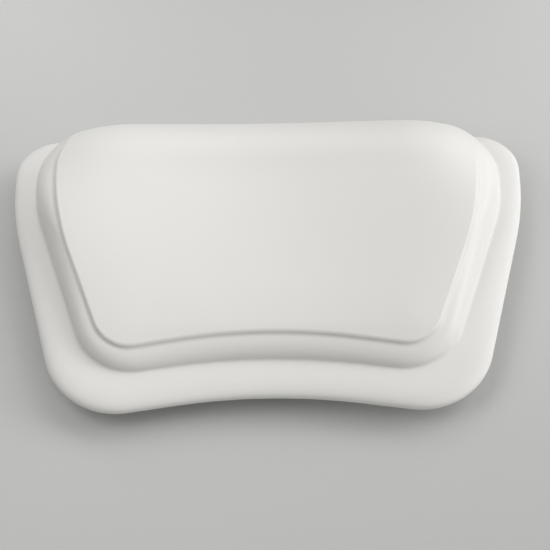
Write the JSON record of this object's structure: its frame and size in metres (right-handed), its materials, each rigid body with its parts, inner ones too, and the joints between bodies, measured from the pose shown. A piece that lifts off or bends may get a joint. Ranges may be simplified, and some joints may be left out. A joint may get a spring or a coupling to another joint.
{
  "type": "bath pillow",
  "caption": "Moulded white bath pillow: a wedge-shaped raised head pad with a creased face on a grained flange, held to a bath by push-in suction cups.",
  "frame": {"origin": "under the middle of the pillow's outline, on the plane of the suction cups' rims", "axes": "+X to the right seen from the face the head rests on, +Y towards the pillow's top edge, +Z out of the face"},
  "size_m": [0.32, 0.1914, 0.0616],
  "materials": {
    "skin": "satin polyurethane skin, smooth on the pad and finely grained on the flange",
    "foam": "open-cell polyurethane foam",
    "backing": "matt polyurethane skin",
    "plate": "moulded polypropylene",
    "seat": "moulded white plastic",
    "stem": "moulded white plastic",
    "cup": "glossy soft vinyl"
  },
  "bodies": {
    "pillow": {"front_skin": "skin", "foam_core": "foam", "back_skin": "backing", "insert_plate": "plate", "seat_upper_left": "seat", "seat_upper_right": "seat", "seat_lower_left": "seat", "seat_lower_right": "seat"},
    "upper_left_stem": {"stem_upper_left": "stem"},
    "upper_right_stem": {"stem_upper_right": "stem"},
    "lower_left_stem": {"stem_lower_left": "stem"},
    "lower_right_stem": {"stem_lower_right": "stem"},
    "upper_left_cup": {"suction_cup_upper_left": "cup"},
    "upper_right_cup": {"suction_cup_upper_right": "cup"},
    "lower_left_cup": {"suction_cup_lower_left": "cup"},
    "lower_right_cup": {"suction_cup_lower_right": "cup"}
  },
  "joints": [
    {"name": "upper_left_pull", "type": "slide", "parent": "pillow", "child": "upper_left_stem", "axis": [0, 0, -1], "range_m": [0, 0.013]},
    {"name": "upper_right_pull", "type": "slide", "parent": "pillow", "child": "upper_right_stem", "axis": [0, 0, -1], "range_m": [0, 0.013]},
    {"name": "lower_left_pull", "type": "slide", "parent": "pillow", "child": "lower_left_stem", "axis": [0, 0, -1], "range_m": [0, 0.013]},
    {"name": "lower_right_pull", "type": "slide", "parent": "pillow", "child": "lower_right_stem", "axis": [0, 0, -1], "range_m": [0, 0.013]},
    {"name": "upper_left_swivel", "type": "hinge", "parent": "upper_left_stem", "child": "upper_left_cup", "pos_m": [-0.09994, 0.05082, 0], "axis": [0, 0, 1], "continuous": true},
    {"name": "upper_right_swivel", "type": "hinge", "parent": "upper_right_stem", "child": "upper_right_cup", "pos_m": [0.09994, 0.05082, 0], "axis": [0, 0, 1], "continuous": true},
    {"name": "lower_left_swivel", "type": "hinge", "parent": "lower_left_stem", "child": "lower_left_cup", "pos_m": [-0.07589, -0.02763, 0], "axis": [0, 0, 1], "continuous": true},
    {"name": "lower_right_swivel", "type": "hinge", "parent": "lower_right_stem", "child": "lower_right_cup", "pos_m": [0.07589, -0.02763, 0], "axis": [0, 0, 1], "continuous": true}
  ]
}
